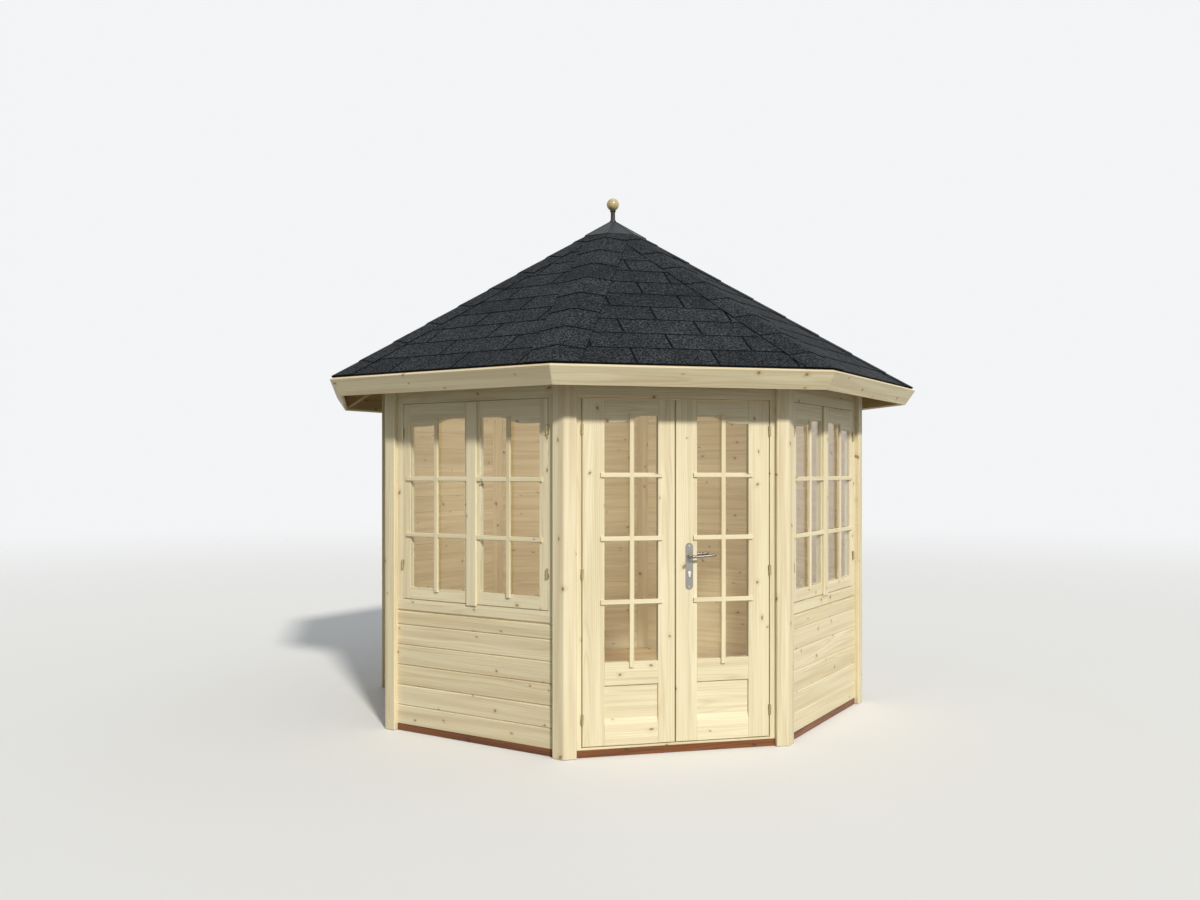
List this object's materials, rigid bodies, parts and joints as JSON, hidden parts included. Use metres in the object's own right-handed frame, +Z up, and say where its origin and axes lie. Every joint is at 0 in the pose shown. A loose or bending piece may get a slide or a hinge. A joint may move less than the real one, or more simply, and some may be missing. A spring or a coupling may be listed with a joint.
{
  "type": "garden pavilion",
  "caption": "Octagonal timber garden pavilion with a glazed double door, casement windows, boarded walls and a shingled roof with cap and ball finial.",
  "frame": {"origin": "on the ground at the middle of the octagonal plan", "axes": "+Z up, -Y out of the door wall, +X to the right of somebody who faces the door"},
  "size_m": [3.676, 3.676, 3.3697],
  "materials": {
    "wood": "planed natural spruce",
    "joinery_wood": "planed natural spruce, door and window frames",
    "impregnated_wood": "reddish-brown impregnated softwood",
    "glass": "clear float glass",
    "shingles": "charcoal mineral-granule bitumen shingles",
    "cap_sheet": "dark grey satin sheet",
    "hinge_metal": "yellow-passivated steel",
    "handle_metal": "satin stainless steel",
    "turned_wood": "varnished turned softwood"
  },
  "bodies": {
    "pavilion": {"apex_block": "wood", "boards_above_openings": "wood", "corner_posts": "wood", "door_head": "joinery_wood", "door_hinges_frame": "hinge_metal", "door_jambs": "joinery_wood", "door_threshold": "joinery_wood", "fascia_boards_diagonal": "wood", "fascia_boards_main": "wood", "finial": "turned_wood", "floor_deck": "wood", "floor_joists": "impregnated_wood", "head_beams": "wood", "hip_rafters": "wood", "roof_boards_diagonal": "wood", "roof_boards_main": "wood", "roof_cap": "cap_sheet", "shingle_layer_diagonal": "shingles", "shingle_layer_main": "shingles", "wall_back": "wood", "wall_back_left": "wood", "wall_back_right": "wood", "wall_bearers": "impregnated_wood", "wall_below_window_left": "wood", "wall_below_window_right": "wood", "wall_left": "wood", "wall_right": "wood", "window_astragal_left": "joinery_wood", "window_astragal_right": "joinery_wood", "window_head_left": "joinery_wood", "window_head_right": "joinery_wood", "window_hinges": "hinge_metal", "window_jambs": "joinery_wood", "window_panes": "glass", "window_sash_left_left": "joinery_wood", "window_sash_left_right": "joinery_wood", "window_sash_right_left": "joinery_wood", "window_sash_right_right": "joinery_wood", "window_sill_left": "joinery_wood", "window_sill_right": "joinery_wood"},
    "left_leaf": {"door_leaf_left": "joinery_wood", "door_glass_left": "glass", "door_hinges_leaf_left": "hinge_metal"},
    "right_leaf": {"door_leaf_right": "joinery_wood", "door_glass_right": "glass", "door_hinges_leaf_right": "hinge_metal", "lock_plates": "handle_metal", "key_cylinders": "handle_metal"},
    "lever": {"door_levers": "handle_metal"}
  },
  "joints": [
    {"name": "left_leaf_hinge", "type": "hinge", "parent": "pavilion", "child": "left_leaf", "pos_m": [-0.5275, -1.507, 0.97], "axis": [0, 0, -1], "range_deg": [0, 110]},
    {"name": "right_leaf_hinge", "type": "hinge", "parent": "pavilion", "child": "right_leaf", "pos_m": [0.5275, -1.507, 0.97], "axis": [0, 0, 1], "range_deg": [0, 110]},
    {"name": "lever_turn", "type": "hinge", "parent": "right_leaf", "child": "lever", "pos_m": [0.065, -1.48, 1.054], "axis": [0, 1, 0], "range_deg": [0, 40], "stiffness_Nm_per_rad": 1.2}
  ]
}
